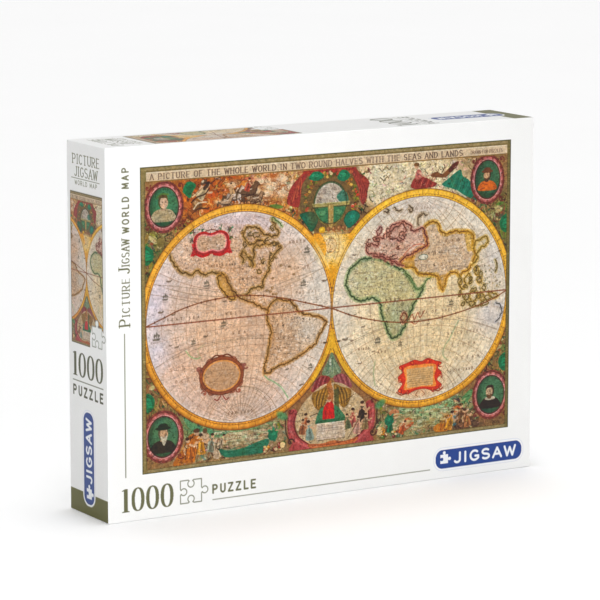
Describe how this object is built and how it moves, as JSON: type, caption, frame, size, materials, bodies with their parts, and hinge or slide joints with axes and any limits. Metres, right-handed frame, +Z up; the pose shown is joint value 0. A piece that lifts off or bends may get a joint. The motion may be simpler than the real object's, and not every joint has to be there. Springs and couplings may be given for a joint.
{
  "type": "boxed jigsaw puzzle",
  "caption": "Flat rectangular telescoping cardboard box with a printed lid, a plain tray, and a sealed film bag of loose interlocking jigsaw pieces.",
  "frame": {"origin": "middle of the footprint of the closed box, on the floor it stands on", "axes": "+Z up, the lid's printed front faces -Y, X runs along the box's long side"},
  "size_m": [0.37, 0.06, 0.273],
  "materials": {
    "printed_wrap": "printed art paper with a satin laminate",
    "white_wrap": "plain white uncoated paper",
    "greyboard": "grey recycled board, matt",
    "stay_paper": "brown kraft tape",
    "film": "clear polyethylene film",
    "piece_board": "printed face, blue-grey back, matt cut edges"
  },
  "bodies": {
    "lid": {"lid_board": "greyboard", "lid_wrap": "printed_wrap", "lid_corner_stay_1": "stay_paper", "lid_corner_stay_2": "stay_paper", "lid_corner_stay_3": "stay_paper", "lid_corner_stay_4": "stay_paper"},
    "tray": {"tray_board": "greyboard", "tray_wrap": "white_wrap", "tray_corner_stay_1": "stay_paper", "tray_corner_stay_2": "stay_paper", "tray_corner_stay_3": "stay_paper", "tray_corner_stay_4": "stay_paper"},
    "bag": {"piece_bag": "film", "pieces_row_01": "piece_board", "pieces_row_02": "piece_board", "pieces_row_03": "piece_board", "pieces_row_04": "piece_board", "pieces_row_05": "piece_board", "pieces_row_06": "piece_board", "pieces_row_07": "piece_board", "pieces_row_08": "piece_board", "pieces_row_09": "piece_board", "pieces_row_10": "piece_board", "pieces_row_11": "piece_board", "pieces_row_12": "piece_board", "pieces_row_13": "piece_board", "pieces_row_14": "piece_board", "pieces_row_15": "piece_board", "pieces_row_16": "piece_board", "pieces_row_17": "piece_board", "pieces_row_18": "piece_board", "pieces_row_19": "piece_board", "pieces_row_20": "piece_board", "pieces_row_21": "piece_board", "pieces_row_22": "piece_board", "pieces_row_23": "piece_board", "pieces_row_24": "piece_board", "pieces_row_25": "piece_board"}
  },
  "joints": [
    {"name": "tray_slide", "type": "slide", "parent": "lid", "child": "tray", "axis": [0, 1, 0], "range_m": [0, 0.125]},
    {"name": "bag_slide", "type": "slide", "parent": "tray", "child": "bag", "axis": [0, -1, 0], "range_m": [0, 0.0625]}
  ],
  "couplings": [
    {"joint": "bag_slide", "follows": "tray_slide", "ratio": 0.5}
  ]
}
